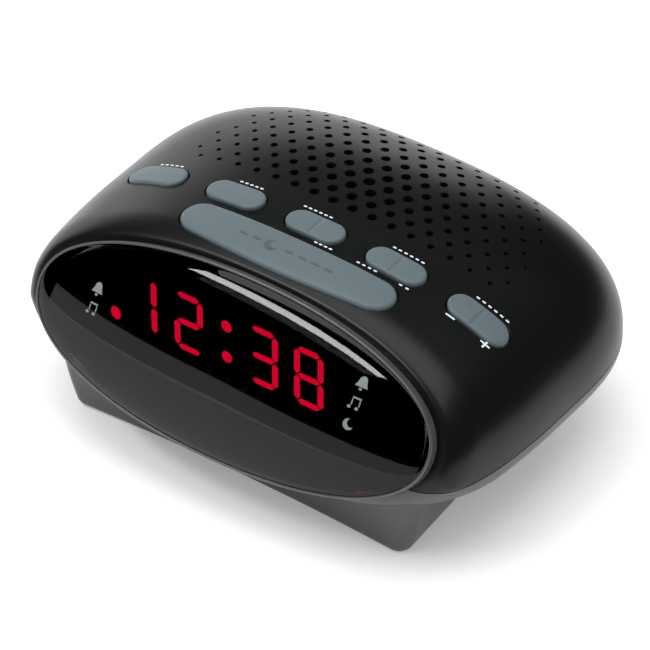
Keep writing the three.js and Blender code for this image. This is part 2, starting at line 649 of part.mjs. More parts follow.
function switchGeometry(x, y) {
  const half = SWITCH_SIZE / 2;
  const base = KEY_BOARD_Z + BOARD_THICKNESS + GAP;
  return boxGeometry(x - half, x + half, y - half, y + half, base, base + SWITCH_HEIGHT);
}

function keyBoard() {
  const board = box(-57, 57, -25, -4.4, KEY_BOARD_Z, KEY_BOARD_Z + BOARD_THICKNESS);
  const notches = HOUSING_SCREWS.map(([x, y]) => rod(x, y, BOSS_RADIUS + 0.6, 0, 70, 12));
  const pilots = KEY_BOARD_SCREWS.map(([x, y]) => rod(x, y, SMALL_PILOT_RADIUS, 0, 70, 8));
  return cut(board, [...notches, ...pilots]);
}

function displayBoardGeometry() {
  const front = MODULE.y1 + GAP;
  return boxGeometry(-44, 32, front, front + BOARD_THICKNESS, 21, 46.8);
}

function moduleGeometry() {
  return boxGeometry(MODULE.x0, MODULE.x1, MODULE.y0, MODULE.y1, MODULE.z0, MODULE.z1);
}

function filterGeometry() {
  const { x0, x1, y0, z0, z1 } = MODULE;
  return boxGeometry(x0 + 0.5, x1 - 0.5, y0 - 0.6, y0 - 0.3, z0, z1 - 0.4);
}

function alarmLedGeometry() {
  const { x, z, y0, y1, half } = ALARM_LED;
  return boxGeometry(x - half, x + half, y0, y1, z - half, z + half);
}

const mainBoardGeometry = () => boxGeometry(-8, 36, -24, 34, MAIN_BOARD_Z, MAIN_BOARD_Z + BOARD_THICKNESS);
const ON_BOARD_Z = MAIN_BOARD_Z + BOARD_THICKNESS + GAP;

const chipGeometry = (x, y, length, width) =>
  boxGeometry(x - length / 2, x + length / 2, y - width / 2, y + width / 2, ON_BOARD_Z, ON_BOARD_Z + 2.2);

const canGeometry = (x, y, radius, height) => rodGeometry(x, y, radius, ON_BOARD_Z, ON_BOARD_Z + height, 14);

// ---------------------------------------------------------------- assembly

const clockRadio = new THREE.Group();

function place(name, shape, finish) {
  const geometry = shape.isBufferGeometry ? shape : toGeometry(shape);
  const mesh = new THREE.Mesh(geometry, finish);
  mesh.name = name;
  clockRadio.add(mesh);
}

place('top_shell', topShell(), BLACK_PLASTIC());
place('bottom_shell', bottomShell(), BLACK_PLASTIC());
place('front_lens', lensGeometry(), LENS_PLASTIC());
place('front_frame', frontFrame(), BLACK_PLASTIC());
place('battery_door', batteryDoor(), BLACK_PLASTIC());
place('cord_gland', glandSolid(), RUBBER());

FEET.forEach(([x, y], i) => place(`foot_${i + 1}`, footGeometry(x, y), RUBBER()));
HOUSING_SCREWS.forEach(([x, y], i) => place(`housing_screw_${i + 1}`, housingScrewGeometry(x, y), STEEL()));

const snoozeStems = [[-SNOOZE_SWITCH_X, SNOOZE_Y], [SNOOZE_SWITCH_X, SNOOZE_Y]];
place('snooze_button', keySolid(snoozeShape, snoozeStems), KEY_PLASTIC());
snoozeStems.forEach(([x, y], i) => place(`snooze_switch_${i + 1}`, switchGeometry(x, y), CHIP()));

const ROUND_KEYS = [
  ['mode_key', -2, [0]],
  ['sleep_key', -1, [0]],
  ['time_rocker', 0, [-ROCKER_SWITCH_X, ROCKER_SWITCH_X]],
  ['tuning_rocker', 1, [-ROCKER_SWITCH_X, ROCKER_SWITCH_X]],
  ['volume_rocker', 2, [-ROCKER_SWITCH_X, ROCKER_SWITCH_X]],
];
for (const [name, position, offsets] of ROUND_KEYS) {
  const outline = (margin) => capsuleShape(keyX(position), KEY_Y, KEY_LENGTH, KEY_WIDTH, margin);
  const stems = offsets.map((dx) => [keyX(position) + dx, KEY_Y]);
  place(name, keySolid(outline, stems), KEY_PLASTIC());
  const stem = name.split('_')[0];
  stems.forEach(([x, y], i) => place(`${stem}_switch_${i + 1}`, switchGeometry(x, y), CHIP()));
}
place('key_board', keyBoard(), BOARD());
KEY_BOARD_SCREWS.forEach(([x, y], i) =>
  place(`key_board_screw_${i + 1}`, smallScrewGeometry(x, y, KEY_BOARD_Z - GAP, 1), STEEL()));

place('display_board', displayBoardGeometry(), BOARD());
place('led_display', moduleGeometry(), material(0x202024, 0.5));
place('display_filter', filterGeometry(), material(0x3a0408, 0.15));
place('alarm_led', alarmLedGeometry(), material(0xd01030, 0.3));

place('speaker_frame', speakerFrameGeometry(), STEEL());
place('speaker_cone', speakerConeGeometry(), material(0x1d1d1f, 0.9));
place('speaker_magnet', speakerMagnetGeometry(), material(0x35363a, 0.6, 0.4));
place('speaker_clip_left', speakerClip(-1), STEEL());
place('speaker_clip_right', speakerClip(1), STEEL());
SPEAKER_SCREWS.forEach(([x, y], i) =>
  place(`speaker_screw_${i + 1}`, smallScrewGeometry(x, y, CLIP_Z - GAP, 1), STEEL()));

place('transformer_core', transformerCore(), material(0x55575c, 0.5, 0.7));
place('transformer_winding', transformerWinding(), material(0xb59a3c, 0.6));
TRANSFORMER_SCREWS.forEach(([x, y], i) =>
  place(`transformer_screw_${i + 1}`, smallScrewGeometry(x, y, CORE.z0 + EAR_THICKNESS + GAP, -1), STEEL()));
place('main_board', mainBoardGeometry(), BOARD());
place('clock_chip', chipGeometry(18, -14, 26, 9), CHIP());
place('tuner_chip', chipGeometry(4, 6, 12, 8), CHIP());
place('audio_chip', chipGeometry(29, 9, 10, 6.5), CHIP());
place('filter_capacitor', canGeometry(30, -3, 5, 12), material(0x23407a, 0.4));
place('coupling_capacitor', canGeometry(20, -4, 2.6, 7), material(0x23407a, 0.4));
place('crystal_can', chipGeometry(4, -5, 8, 3.6), STEEL());

CELL_Y.forEach((y, i) =>
  place(`backup_cell_${i + 1}`, cellGeometry(y, i === 1), material(0x8a8d92, 0.35, 0.6)));
place('battery_contact_left', contactGeometry(-1), STEEL());
place('battery_contact_right', contactGeometry(1), STEEL());

export default clockRadio;
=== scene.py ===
"""Looks of the clock radio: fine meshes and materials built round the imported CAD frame."""

import json
import math

import bmesh
import bpy
import numpy as np
from mathutils import Matrix, Vector
from mathutils.bvhtree import BVHTree


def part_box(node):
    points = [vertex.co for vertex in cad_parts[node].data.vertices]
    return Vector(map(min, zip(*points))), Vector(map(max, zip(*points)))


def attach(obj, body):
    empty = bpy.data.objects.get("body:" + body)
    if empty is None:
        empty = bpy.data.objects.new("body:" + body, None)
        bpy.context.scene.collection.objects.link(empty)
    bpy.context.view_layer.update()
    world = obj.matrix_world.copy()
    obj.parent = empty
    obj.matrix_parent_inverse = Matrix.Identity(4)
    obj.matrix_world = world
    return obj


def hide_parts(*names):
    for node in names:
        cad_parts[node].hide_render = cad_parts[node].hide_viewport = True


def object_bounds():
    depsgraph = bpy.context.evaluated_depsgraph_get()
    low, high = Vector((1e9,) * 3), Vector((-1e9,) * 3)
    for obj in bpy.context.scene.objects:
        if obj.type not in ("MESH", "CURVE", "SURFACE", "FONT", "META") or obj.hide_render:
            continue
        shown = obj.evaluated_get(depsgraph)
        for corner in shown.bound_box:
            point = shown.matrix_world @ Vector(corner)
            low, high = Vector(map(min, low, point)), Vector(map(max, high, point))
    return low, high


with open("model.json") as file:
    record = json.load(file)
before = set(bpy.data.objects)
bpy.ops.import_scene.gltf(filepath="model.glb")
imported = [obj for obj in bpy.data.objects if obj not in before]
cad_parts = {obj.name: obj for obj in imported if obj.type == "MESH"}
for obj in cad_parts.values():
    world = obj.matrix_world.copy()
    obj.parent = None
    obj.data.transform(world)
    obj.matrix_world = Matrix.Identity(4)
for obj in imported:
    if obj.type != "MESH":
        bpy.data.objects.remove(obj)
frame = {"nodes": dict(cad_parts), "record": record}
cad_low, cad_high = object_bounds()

MM = 0.001

# ------------------------------------------------------------------ driving dimensions, in millimetres

GAP = 0.3
WALL = 2.2
BIG = 90.0  # further out than the housing, for cutting blocks
WELD = 0.002  # points closer than this are one point

# housing: superelliptic sections along Y, as in the CAD
HALF_WIDTH = (cad_high.x - cad_low.x) / 2 / MM
PARTING_Z = 26.5
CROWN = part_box("top_shell")[1].z / MM - PARTING_Z
KEEL = 15.0
REAR_Y = 54.0
FRONT_Y = -44.7
TOP_EXPONENT = 2.46
KEEL_EXPONENT = 2.5
SIDE_CLOSE_Y = 5.0  # behind these the plan, the roof and the underside round off towards the rear
TOP_CLOSE_Y = 7.4
KEEL_CLOSE_Y = 17.0
SIDE_CLOSE_EXPONENT = 2.95
TOP_CLOSE_EXPONENT = 2.57
KEEL_CLOSE_EXPONENT = 2.5
NARROW_FROM_Y = -4.0  # forward of this the sections narrow slightly
NARROW_LENGTH = 32.5
NARROW_X = 0.046
SHEAR_END_Y = 14.5  # behind this the sections are upright
SHOULDER_SOFT = 22.0
SHOULDER_SHARP = 8.0

# lens, and the rim of the housing that it sits in; both lie in planes that lean back
LEAN = math.radians(30)
LENS_CENTRE = (0.0, -42.2, 35.9)
LENS_A = 58.6
LENS_B = 23.0
LENS_EXPONENT = 2.15
LENS_BULGE = 5.5
LENS_INNER_BULGE = 5.9
LENS_INNER_SCALE = 0.955
LENS_EDGE = 2.2
BULGE_EXPONENT = 0.75
RIM_A = 59.4
RIM_B_TOP = 21.6
RIM_B_BOTTOM = 22.8

# plinth under the housing
PLINTH_Z = 0.6
PLINTH_TOP_Z = 24.0
PLINTH_HALF_WIDTH = 50.0
PLINTH_FLARE = 4.0
PLINTH_FLARE_Z = 16.0
PLINTH_FLARE_EXPONENT = 1.6
PLINTH_FRONT_Y = -41.0
PLINTH_FRONT_BOW = 1.4
PLINTH_FRONT_RAKE = 0.05
PLINTH_FRONT_RADIUS = 3.4
PLINTH_REAR_Y = 35.0
PLINTH_REAR_RAKE = 0.1
PLINTH_REAR_TAPER = 4.0
PLINTH_REAR_RADIUS = 12.0
FLOOR_TOP_Z = 3.0

# keys
KEY_PITCH = 24.0
KEY_Y = -7.0
KEY_LENGTH = 16.5
KEY_WIDTH = 7.8
KEY_PROUD = 0.8
KEY_CLEARANCE = 0.35
KEY_DEPTH = 3.4  # skin to the underside of a cap
KEY_CROWN = 0.12
KEY_FILLET = 0.7
GROOVE_DEPTH = 0.32
GROOVE_WIDTH = 0.42
OPENING_CHAMFER = 0.22
SNOOZE_Y = -18.6
SNOOZE_HALF_LENGTH = 31.2
SNOOZE_HALF_WIDTH = 5.1
SNOOZE_BOW = 2.4
SNOOZE_FILLET = 0.9

# ------------------------------------------------------------------ mesh helpers


def new_object(name, vertices, faces, weld=False):
    mesh = bpy.data.meshes.new(name)
    mesh.from_pydata([tuple(float(c) * MM for c in v) for v in vertices], [], faces)
    obj = bpy.data.objects.new(name, mesh)
    bpy.context.scene.collection.objects.link(obj)
    bm = bmesh.new()
    bm.from_mesh(mesh)
    if weld:
        bmesh.ops.remove_doubles(bm, verts=bm.verts, dist=WELD * MM)
    bmesh.ops.recalc_face_normals(bm, faces=bm.faces)
    bm.to_mesh(mesh)
    bm.free()
    return obj


def rings_object(name, rings, seam=False):
    """A closed solid through rings of points, with a flat fan over both ends.
    With a seam, the last ring is folded flat and its two sides are welded, in place of a fan."""
    rings = np.asarray(rings, float)
    rows, count = rings.shape[:2]
    vertices = [tuple(p) for ring in rings for p in ring]
    vertices.append(tuple(rings[0].mean(0)))
    if not seam:
        vertices.append(tuple(rings[-1].mean(0)))
    faces = []
    for k in range(rows - 1):
        for i in range(count):
            j = (i + 1) % count
            faces.append((k * count + i, k * count + j, (k + 1) * count + j, (k + 1) * count + i))
    last = (rows - 1) * count
    for i in range(count):
        j = (i + 1) % count
        faces.append((rows * count, j, i))
        if not seam:
            faces.append((rows * count + 1, last + i, last + j))
    return new_object(name, vertices, faces, weld=seam)


def loop_object(name, rings):
    """A closed solid through rings of points, with the last ring joined back to the first."""
    rings = np.asarray(rings, float)
    rows, count = rings.shape[:2]
    vertices = [tuple(p) for ring in rings for p in ring]
    faces = []
    for k in range(rows):
        n = (k + 1) % rows
        for i in range(count):
            j = (i + 1) % count
            faces.append((k * count + i, k * count + j, n * count + j, n * count + i))
    return new_object(name, vertices, faces)


def box_object(x0, x1, y0, y1, z0, z1):
    ring = [(x0, y0), (x1, y0), (x1, y1), (x0, y1)]
    return rings_object("box", [[(x, y, z) for x, y in ring] for z in (z0, z1)])


def slab(z0, z1):
    """Everything between two levels."""
    return box_object(-BIG, BIG, -BIG, BIG, z0, z1)


def turned(name, profile, x, y, sides=48):
    """A solid of revolution about an upright axis; the profile is (radius, z) pairs, ends on the axis."""
    angles = np.linspace(0, 2 * math.pi, sides, endpoint=False)
    rings = [[(x + r * math.cos(a), y + r * math.sin(a), z) for a in angles] for r, z in profile]
    return rings_object(name, rings)


def rod(x, y, radius, z0, z1, sides=32):
    return turned("rod", [(radius, z0), (radius, z1)], x, y, sides)


def rod_y(x, z, radius, y0, y1, sides=40):
    angles = np.linspace(0, 2 * math.pi, sides, endpoint=False)
    rings = [[(x + radius * math.cos(a), y, z + radius * math.sin(a)) for a in angles] for y in (y0, y1)]
    return rings_object("rod", rings)


def apply_modifiers(obj):
    graph = bpy.context.evaluated_depsgraph_get()
    mesh = bpy.data.meshes.new_from_object(obj.evaluated_get(graph))
    obj.modifiers.clear()
    obj.data = mesh


def combine(obj, tools, operation):
    """Joins, cuts or keeps the overlap of closed solids; the tools are used up."""
    for tool in tools:
        modifier = obj.modifiers.new("combine", "BOOLEAN")
        modifier.operation = operation
        modifier.solver = "MANIFOLD"
        modifier.object = tool
    apply_modifiers(obj)
    for tool in tools:
        bpy.data.objects.remove(tool)
    return obj


def add(obj, *tools):
    return combine(obj, tools, "UNION")


def cut(obj, *tools):
    return combine(obj, tools, "DIFFERENCE")


def keep(obj, *tools):
    return combine(obj, tools, "INTERSECT")


def copy_of(obj):
    twin = bpy.data.objects.new(obj.name, obj.data.copy())
    bpy.context.scene.collection.objects.link(twin)
    return twin


def smooth_shading(obj, angle=32):
    obj.data.shade_smooth()
    obj.data.set_sharp_from_angle(angle=math.radians(angle))


def finish_piece(obj, name, material, body="housing", replaces=(), angle=32):
    obj.name = name
    obj.data.name = name
    obj.data.materials.clear()
    obj.data.materials.append(material)
    smooth_shading(obj, angle)
    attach(obj, body)
    if replaces:
        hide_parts(*replaces)
    return obj


# ------------------------------------------------------------------ housing surface


def power(value, exponent):
    return np.sign(value) * np.abs(value) ** exponent


def smooth(t):
    t = np.clip(t, 0, 1)
    return t * t * (3 - 2 * t)


def closing(y, start, end, exponent):
    t = np.clip((y - start) / (end - start), 0, 1)
    return (1 - t**exponent) ** (1 / exponent)


def housing_grid(stations, angles, inset=0.0):
    """Points of the housing's surface, or of one inset from it.
    The sections lean with the lens at the front and stand upright at the rear."""
    station, angle = np.meshgrid(stations, angles, indexing="ij")
    c, s = np.cos(angle), np.sin(angle)
    end = REAR_Y - inset
    exponent = np.where(s > 0, TOP_EXPONENT, KEEL_EXPONENT)
    rise = np.where(
        s > 0,
        (CROWN - inset) * closing(station, TOP_CLOSE_Y, end, TOP_CLOSE_EXPONENT),
        (KEEL - inset) * closing(station, KEEL_CLOSE_Y, end, KEEL_CLOSE_EXPONENT),
    )
    width = (HALF_WIDTH - inset) * closing(station, SIDE_CLOSE_Y, end, SIDE_CLOSE_EXPONENT)
    height = rise * power(s, 2 / exponent)
    shear = math.tan(LEAN) * (1 - smooth((station - FRONT_Y) / (SHEAR_END_Y - FRONT_Y)))
    y = station + shear * height
    narrow = np.clip((NARROW_FROM_Y - y) / NARROW_LENGTH, 0, 1.2) ** 2
    x = width * power(c, 2 / exponent) * (1 - NARROW_X * narrow)
    body = np.stack([x, y, PARTING_Z + height], -1)

    half = np.where(s > 0, RIM_B_TOP, RIM_B_BOTTOM) - inset
    rim_z = LENS_CENTRE[2] + half * power(s, 2 / LENS_EXPONENT) * math.cos(LEAN)
    rim_y = FRONT_Y + math.tan(LEAN) * (rim_z - PARTING_Z)
    rim = np.stack([(RIM_A - inset) * power(c, 2 / LENS_EXPONENT), rim_y, rim_z], -1)

    # the shoulder round the rim is sharp over the lens and soft under it
    distance = station - FRONT_Y
    sharp = np.sqrt(1 - (1 - np.clip(distance / SHOULDER_SHARP, 0, 1)) ** 2)
    soft = 1 - (1 - np.clip(distance / SHOULDER_SOFT, 0, 1)) ** 2
    blend = soft + (sharp - soft) * smooth(s * 1.6 + 0.6)
    return rim + (body - rim) * blend[..., None]


def housing_stations(inset=0.0):
    """Places along Y for the sections, closer together towards both ends."""
    shoulder = FRONT_Y + SHOULDER_SOFT * (1 - np.cos(np.linspace(0, math.pi / 2, 24)))
    middle = np.linspace(FRONT_Y + SHOULDER_SOFT, SIDE_CLOSE_Y, 26)[1:]
    reach = REAR_Y - inset - SIDE_CLOSE_Y
    rear = SIDE_CLOSE_Y + reach * np.sin(np.linspace(0, math.pi / 2 - 0.03, 46))[1:]
    return np.concatenate([shoulder, middle, rear])


def section_angles(count=176):
    return np.linspace(0, 2 * math.pi, count, endpoint=False)


def housing_solid(inset=0.0, mouth=False):
    """The housing's solid, or an inset one; with a mouth it is carried on out through the front."""
    grid = housing_grid(housing_stations(inset), section_angles(), inset)
    if mouth:
        forward = np.array([0, -math.cos(LEAN), math.sin(LEAN)]) * 10
        grid = np.concatenate([(grid[0] + forward)[None], grid[3:]])
    return rings_object("housing", grid)


outer = housing_solid()
outer_tree = BVHTree.FromObject(outer, bpy.context.evaluated_depsgraph_get())


def surface_z(x, y):
    """Height of the housing's skin above a point, in millimetres."""
    hit = outer_tree.ray_cast(Vector((x * MM, y * MM, 0.2)), Vector((0, 0, -1)))[0]
    return hit.z / MM


# ------------------------------------------------------------------ outlines


def capsule(x, y, length, width, margin=0.0, arc=20, side=40):
    """A stadium outline and, for each of its points, the nearest point of its spine."""
    radius = width / 2 + margin
    run = (length - width) / 2
    outline = []
    spine = []
    for centre, start in ((run, -math.pi / 2), (-run, math.pi / 2)):
        for a in start + np.linspace(0, math.pi, arc):
            outline.append((x + centre + radius * math.cos(a), y + radius * math.sin(a)))
            spine.append((x + centre, y))
        sign = -1 if centre > 0 else 1
        for t in np.linspace(0, 1, side + 2)[1:-1]:
            px = x + centre + sign * 2 * run * t
            outline.append((px, y + (radius if centre > 0 else -radius)))
            spine.append((px, y))
    return np.array(outline), np.array(spine)


def snooze_outline(margin=0.0, arc=24, side=90):
    outline, spine = capsule(0, SNOOZE_Y, 2 * SNOOZE_HALF_LENGTH, 2 * SNOOZE_HALF_WIDTH, margin, arc, side)
    run = SNOOZE_HALF_LENGTH - SNOOZE_HALF_WIDTH
    low = outline[:, 1] < SNOOZE_Y
    bow = SNOOZE_BOW * (1 - np.clip(np.abs(outline[:, 0]) / (run + 3), 0, 1) ** 2)
    outline[low, 1] -= bow[low]
    return outline, spine


def follow(points, lift):
    """The points of an outline, lifted off the housing's skin."""
    return [(x, y, surface_z(x, y) + lift) for x, y in points]


def key_solid(outline, spine, fillet=KEY_FILLET, groove_x=None):
    """A cap that follows the housing's skin, with a rounded edge and a faint crown."""
    reach = np.linalg.norm(outline - spine, axis=1).mean()
    insets = np.concatenate([fillet * (1 - np.cos(np.linspace(0, math.pi / 2, 7))), [1.4, 2.2, 3.0]])
    insets = [t for t in insets if t < reach - 0.3] + [reach]
    rings = [follow(outline, -KEY_DEPTH), follow(outline, KEY_PROUD - fillet - 0.4)]
    for inset in insets:
        t = inset / reach
        ring = outline + (spine - outline) * t
        edge = max(fillet - inset, 0)
        lift = KEY_PROUD - fillet + math.sqrt(fillet**2 - edge**2) + KEY_CROWN * t * t
        points = []
        for x, y in ring:
            dip = 0.0
            if groove_x is not None:
                dip = GROOVE_DEPTH * math.exp(-(((x - groove_x) / GROOVE_WIDTH) ** 2)) * min(t * 3, 1)
            points.append((x, y, surface_z(x, y) + lift - dip))
        rings.append(points)
    return rings_object("key", rings, seam=True)


def opening_cutter(outline_of):
    """Cuts an opening with a small chamfer where it meets the skin."""
    tight = outline_of(KEY_CLEARANCE)[0]
    wide = outline_of(KEY_CLEARANCE + OPENING_CHAMFER)[0]
    rings = [follow(tight, -8), follow(tight, -OPENING_CHAMFER), follow(wide, 0.0), follow(wide, 4)]
    return rings_object("opening", rings)


def key_outline(place):
    return lambda margin=0.0: capsule(place * KEY_PITCH, KEY_Y, KEY_LENGTH, KEY_WIDTH, margin)


# ------------------------------------------------------------------ materials


def nodes_of(name):
    material = bpy.data.materials.new(name)
    material.use_nodes = True
    tree = material.node_tree
    return material, tree, tree.nodes["Principled BSDF"]


def node(tree, kind, inputs=(), **settings):
    made = tree.nodes.new(kind)
    for key, value in settings.items():
        setattr(made, key, value)
    for key, value in dict(inputs).items():
        made.inputs[key].default_value = value
    return made


def mapped_noise(tree, scale, detail, low, high, roughness=0.55):
    """Noise over the object's own coordinates, spread over a range of values."""
    place = node(tree, "ShaderNodeTexCoord")
    noise = node(tree, "ShaderNodeTexNoise", {"Scale": scale, "Detail": detail, "Roughness": roughness})
    spread = node(tree, "ShaderNodeMapRange", {"To Min": low, "To Max": high})
    tree.links.new(place.outputs["Object"], noise.inputs["Vector"])
    tree.links.new(noise.outputs["Fac"], spread.inputs["Value"])
    return spread.outputs["Result"]


def bump_from(tree, height, distance, strength=1.0, onto=None):
    bump = node(tree, "ShaderNodeBump", {"Distance": distance, "Strength": strength})
    tree.links.new(height, bump.inputs["Height"])
    if onto is not None:
        tree.links.new(onto, bump.inputs["Normal"])
    return bump.outputs["Normal"]


def tint(tree, colour, factor, spread=0.12):
    """The colour, a little lighter and darker from place to place."""
    mix = node(tree, "ShaderNodeMix", data_type="RGBA")
    mix.inputs["A"].default_value = (*[c * (1 - spread) for c in colour], 1)
    mix.inputs["B"].default_value = (*[min(c * (1 + spread), 1) for c in colour], 1)
    tree.links.new(factor, mix.inputs["Factor"])
    return mix.outputs["Result"]


def moulded_plastic(name, colour, roughness, grain=0.00001, grain_scale=2600.0, specular=0.5):
    """Injection-moulded plastic: spark-eroded grain, slow waves in the gloss and in the colour."""
    material, tree, shader = nodes_of(name)
    tree.links.new(tint(tree, colour, mapped_noise(tree, 30, 3, 0, 1)), shader.inputs["Base Color"])
    tree.links.new(mapped_noise(tree, 90, 4, roughness - 0.05, roughness + 0.05), shader.inputs["Roughness"])
    fine = bump_from(tree, mapped_noise(tree, grain_scale, 2, 0, 1), grain, 0.6)
    wavy = bump_from(tree, mapped_noise(tree, 12, 1, 0, 1), 0.00006, 0.5, fine)
    tree.links.new(wavy, shader.inputs["Normal"])
    shader.inputs["Specular IOR Level"].default_value = specular
    return material


def smoked_acrylic(name):
    """Polished dark acrylic: the display shines through it and little else does."""
    material, tree, shader = nodes_of(name)
    smoke = tint(tree, (0.042, 0.038, 0.040), mapped_noise(tree, 20, 2, 0, 1))
    tree.links.new(smoke, shader.inputs["Base Color"])
    tree.links.new(mapped_noise(tree, 40, 2, 0.02, 0.03), shader.inputs["Roughness"])
    shader.inputs["IOR"].default_value = 1.37
    shader.inputs["Transmission Weight"].default_value = 1.0
    return material


def glowing(name, colour, strength):
    """A lit segment behind a faintly cloudy diffuser."""
    material, tree, shader = nodes_of(name)
    shader.inputs["Base Color"].default_value = (*[c * 0.4 for c in colour], 1)
    factor = mapped_noise(tree, 900, 2, 0, 1)
    tree.links.new(tint(tree, colour, factor, 0.06), shader.inputs["Emission Color"])
    shader.inputs["Emission Strength"].default_value = strength
    tree.links.new(mapped_noise(tree, 300, 2, 0.35, 0.45), shader.inputs["Roughness"])
    return material


def metal(name, colour, roughness, scale=400.0):
    material, tree, shader = nodes_of(name)
    tree.links.new(tint(tree, colour, mapped_noise(tree, 200, 3, 0, 1), 0.15), shader.inputs["Base Color"])
    tree.links.new(mapped_noise(tree, scale, 4, roughness - 0.1, roughness + 0.1), shader.inputs["Roughness"])
    shader.inputs["Metallic"].default_value = 1.0
    fine = bump_from(tree, mapped_noise(tree, scale * 2, 2, 0, 1), 0.00002, 0.5)
    tree.links.new(fine, shader.inputs["Normal"])
    return material


def printed_ink(name, colour):
    material, tree, shader = nodes_of(name)
    tree.links.new(tint(tree, colour, mapped_noise(tree, 700, 3, 0, 1), 0.08), shader.inputs["Base Color"])
    tree.links.new(mapped_noise(tree, 500, 2, 0.4, 0.55), shader.inputs["Roughness"])
    return material


HOUSING = moulded_plastic("housing_plastic", (0.0040, 0.0044, 0.0044), 0.30, specular=0.27)
PLINTH = moulded_plastic("plinth_plastic", (0.024, 0.026, 0.025), 0.34, specular=0.8)
# the rim's colour is lighter than the gloss black lens edge it stands for: painted reflection of the bright
# floor on the bead
RIM = moulded_plastic("rim_painted_reflection", (0.055, 0.058, 0.058), 0.22, 0.000001, specular=0.7)
KEY = moulded_plastic("key_plastic", (0.088, 0.120, 0.131), 0.45, specular=0.35)
# the motif's colour is the key plastic darkened: painted shade of engraved cuts, with a rougher gloss
ENGRAVED_SHADE = moulded_plastic("engraving_painted_shade", (0.058, 0.082, 0.092), 0.55, specular=0.3)
LENS = smoked_acrylic("lens_plastic")
DARK = moulded_plastic("inner_plastic", (0.003, 0.003, 0.003), 0.8, specular=0.08)
RUBBER = moulded_plastic("rubber", (0.012, 0.012, 0.012), 0.85, 0.00004, 1500.0, 0.3)
INK = printed_ink("white_ink", (0.60, 0.62, 0.64))
GREY_INK = printed_ink("grey_ink", (0.16, 0.185, 0.195))
RED = glowing("lit_segment", (1.0, 0.003, 0.042), 15.0)

# ------------------------------------------------------------------ shells

# the lower shell's tongue stands in a rebate inside the upper shell
TONGUE_INSET = 1.25
TONGUE_HEIGHT = 1.8
REBATE_INSET = TONGUE_INSET - 0.15
REBATE_HEIGHT = TONGUE_HEIGHT + 0.5

hollow = housing_solid(WALL, True)
rebate = keep(housing_solid(REBATE_INSET, True), slab(0, PARTING_Z + REBATE_HEIGHT))
skin = cut(copy_of(outer), copy_of(hollow))

# grille: staggered rows of holes that shrink away from the speaker's middle
HOLE_PITCH_X = 5.81
HOLE_PITCH_Y = 3.73
HOLE_FRONT_Y = 4.5
HOLE_ROWS = 11
HOLE_SIDES = 20
HOLE_RADIUS = 1.52
HOLE_RADIUS_FALL = 1.06
HOLE_CHAMFER = 0.16
HOLE_DEPTH = 6.0
BLIND_DEPTH = 0.9  # every other hole near the edge doesn't go through
BLIND_FROM = 0.72
GRILLE_MIDDLE_Y = 14.0
GRILLE_HALF_WIDTH = 47.0
GRILLE_END_Y = 56.0
GRILLE_END_EXPONENT = 2.2
GRILLE_FADE_X = 46.5
GRILLE_FADE_Y = 45.0


def hole_profile(x, y, radius, depth):
    """Radii and heights of one hole, with a chamfer where it meets the skin."""
    z = surface_z(x, y)
    flare = radius + HOLE_CHAMFER
    return [(radius, z - depth), (radius, z - HOLE_CHAMFER), (flare, z + 0.04), (flare, z + 3)]


def grille_holes():
    """Place, radius and depth of each hole of the grille."""
    for row in range(HOLE_ROWS):
        y = HOLE_FRONT_Y + row * HOLE_PITCH_Y
        odd = row % 2
        limit = GRILLE_HALF_WIDTH * closing(np.array(y), GRILLE_MIDDLE_Y, GRILLE_END_Y, GRILLE_END_EXPONENT)
        for k in range(-8, 8 + odd):
            x = (k + (0 if odd else 0.5)) * HOLE_PITCH_X
            if abs(x) > limit:
                continue
            reach = math.hypot(x / GRILLE_FADE_X, (y - GRILLE_MIDDLE_Y) / GRILLE_FADE_Y)
            radius = HOLE_RADIUS - HOLE_RADIUS_FALL * min(reach, 1) ** 0.9
            through = reach < BLIND_FROM or (k + row) % 2 == 0
            yield x, y, radius, HOLE_DEPTH if through else BLIND_DEPTH


def grille_cutters():
    """One mesh of all the holes, which don't meet."""
    bm = bmesh.new()
    turns = [2 * math.pi * i / HOLE_SIDES for i in range(HOLE_SIDES)]
    for x, y, radius, depth in grille_holes():
        rings = []
        for r, z in hole_profile(x, y, radius, depth):
            points = [((x + r * math.cos(a)) * MM, (y + r * math.sin(a)) * MM, z * MM) for a in turns]
            rings.append([bm.verts.new(point) for point in points])
        bm.faces.new(rings[0][::-1])
        bm.faces.new(rings[-1])
        for low, high in zip(rings, rings[1:]):
            for i in range(HOLE_SIDES):
                j = (i + 1) % HOLE_SIDES
                bm.faces.new((low[i], low[j], high[j], high[i]))
    mesh = bpy.data.meshes.new("holes")
    bm.to_mesh(mesh)
    bm.free()
    obj = bpy.data.objects.new("holes", mesh)
    bpy.context.scene.collection.objects.link(obj)
    return obj


upper = keep(copy_of(skin), slab(PARTING_Z + GAP / 2, BIG))
cut(upper, copy_of(rebate))
cut(upper, *[opening_cutter(key_outline(place)) for place in range(-2, 3)])
cut(upper, opening_cutter(snooze_outline))
cut(upper, grille_cutters())
finish_piece(upper, "upper_shell", HOUSING, replaces=("top_shell",))

# ------------------------------------------------------------------ keys

KEYS = [("mode_key", -2, False), ("sleep_key", -1, False), ("time_rocker", 0, True),
        ("tuning_rocker", 1, True), ("volume_rocker", 2, True)]
for name, place, rocks in KEYS:
    outline, spine = key_outline(place)()
    cap = key_solid(outline, spine, groove_x=place * KEY_PITCH if rocks else None)
    finish_piece(cap, name + "_cap", KEY, name, (name,), 50)

outline, spine = snooze_outline()
bar = key_solid(outline, spine, SNOOZE_FILLET)
finish_piece(bar, "snooze_bar", KEY, "snooze_button", ("snooze_button",), 50)

# ------------------------------------------------------------------ printed marks

